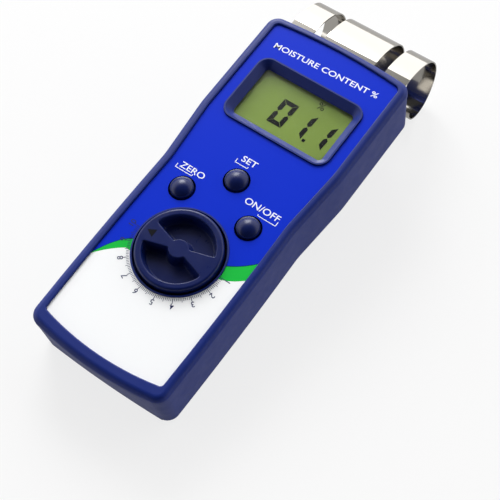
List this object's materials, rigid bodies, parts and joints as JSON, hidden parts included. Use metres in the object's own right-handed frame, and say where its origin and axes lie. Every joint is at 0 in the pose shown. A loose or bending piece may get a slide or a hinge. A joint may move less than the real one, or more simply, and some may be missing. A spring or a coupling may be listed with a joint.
{
  "type": "moisture meter",
  "caption": "Hand-held contact moisture meter with sprung steel electrode loops, a display, push buttons and a turning dial for the timber group.",
  "frame": {"origin": "middle of the flat back of the case, on the face it is pressed to the floor with", "axes": "+Y along the case towards the electrode loops, +Z out of the display face, +X to the user's right"},
  "size_m": [0.063, 0.181, 0.0445],
  "materials": {
    "battery_can": "painted steel can",
    "black_plastic": "glass-filled nylon",
    "black_rubber": "soft rubber and foam",
    "black_wire": "PVC sleeve",
    "blue_plastic": "moulded",
    "circuit_board": "green solder mask",
    "clear_acrylic": "clear acrylic",
    "copper_wire": "enamelled copper",
    "ferrite": "sintered ferrite",
    "label_film": "printed polyester film, satin",
    "lcd_glass": "reflective LCD glass",
    "navy_abs": "satin moulded ABS",
    "navy_button": "polished ABS",
    "red_wire": "PVC sleeve",
    "stainless_steel": "rolled spring steel, bright",
    "zinc_plate": "zinc plated"
  },
  "bodies": {
    "case": {"back_cover": "navy_abs", "battery": "battery_can", "battery_lead_black": "black_wire", "battery_lead_red": "red_wire", "battery_pad": "black_rubber", "battery_snap": "black_plastic", "battery_terminals": "zinc_plate", "board_screws": "zinc_plate", "capacitors": "black_plastic", "case_screws": "zinc_plate", "centre_lead": "black_wire", "centre_tab": "stainless_steel", "clamp_screws": "zinc_plate", "coil_winding": "copper_wire", "contact_strips": "black_rubber", "crystal": "zinc_plate", "dial_sensor": "black_plastic", "display_window": "clear_acrylic", "driver_chip": "black_plastic", "electrode_base": "black_plastic", "electrode_clamp": "black_plastic", "front_cover": "navy_abs", "front_label": "label_film", "lcd_holder": "black_plastic", "lcd_panel": "lcd_glass", "left_lead": "black_wire", "left_tab": "stainless_steel", "main_board": "circuit_board", "on_off_switch": "black_plastic", "oscillator_coil": "ferrite", "processor_chip": "black_plastic", "right_lead": "black_wire", "right_tab": "stainless_steel", "set_switch": "black_plastic", "trimmer": "blue_plastic", "zero_switch": "black_plastic"},
    "dial": {"dial_knob": "navy_abs", "dial_shaft": "zinc_plate"},
    "battery_door": {"battery_door": "navy_abs"},
    "zero_button": {"zero_button": "navy_button", "zero_plunger": "black_plastic"},
    "set_button": {"set_button": "navy_button", "set_plunger": "black_plastic"},
    "on_off_button": {"on_off_button": "navy_button", "on_off_plunger": "black_plastic"},
    "left_electrode": {"left_electrode": "stainless_steel"},
    "centre_electrode": {"centre_electrode": "stainless_steel"},
    "right_electrode": {"right_electrode": "stainless_steel"}
  },
  "joints": [
    {"name": "dial_turn", "type": "hinge", "parent": "case", "child": "dial", "pos_m": [0, -0.026, 0.02], "axis": [0, 0, 1], "range_deg": [0, 180]},
    {"name": "zero_press", "type": "slide", "parent": "case", "child": "zero_button", "axis": [0, 0, -1], "range_m": [0, 0.0008], "stiffness_N_per_m": 1500, "springref_m": -0.0003},
    {"name": "set_press", "type": "slide", "parent": "case", "child": "set_button", "axis": [0, 0, -1], "range_m": [0, 0.0008], "stiffness_N_per_m": 1500, "springref_m": -0.0003},
    {"name": "on_off_press", "type": "slide", "parent": "case", "child": "on_off_button", "axis": [0, 0, -1], "range_m": [0, 0.0008], "stiffness_N_per_m": 1500, "springref_m": -0.0003},
    {"name": "battery_door_slide", "type": "slide", "parent": "case", "child": "battery_door", "axis": [0, -1, 0], "range_m": [0, 0.032]},
    {"name": "left_electrode_flex", "type": "hinge", "parent": "case", "child": "left_electrode", "pos_m": [0, 0.0756, 0.01554], "axis": [1, 0, 0], "range_deg": [0, 12], "stiffness_Nm_per_rad": 0.3},
    {"name": "centre_electrode_flex", "type": "hinge", "parent": "case", "child": "centre_electrode", "pos_m": [0, 0.0756, 0.01554], "axis": [1, 0, 0], "range_deg": [0, 12], "stiffness_Nm_per_rad": 0.3},
    {"name": "right_electrode_flex", "type": "hinge", "parent": "case", "child": "right_electrode", "pos_m": [0, 0.0756, 0.01554], "axis": [1, 0, 0], "range_deg": [0, 12], "stiffness_Nm_per_rad": 0.3}
  ]
}
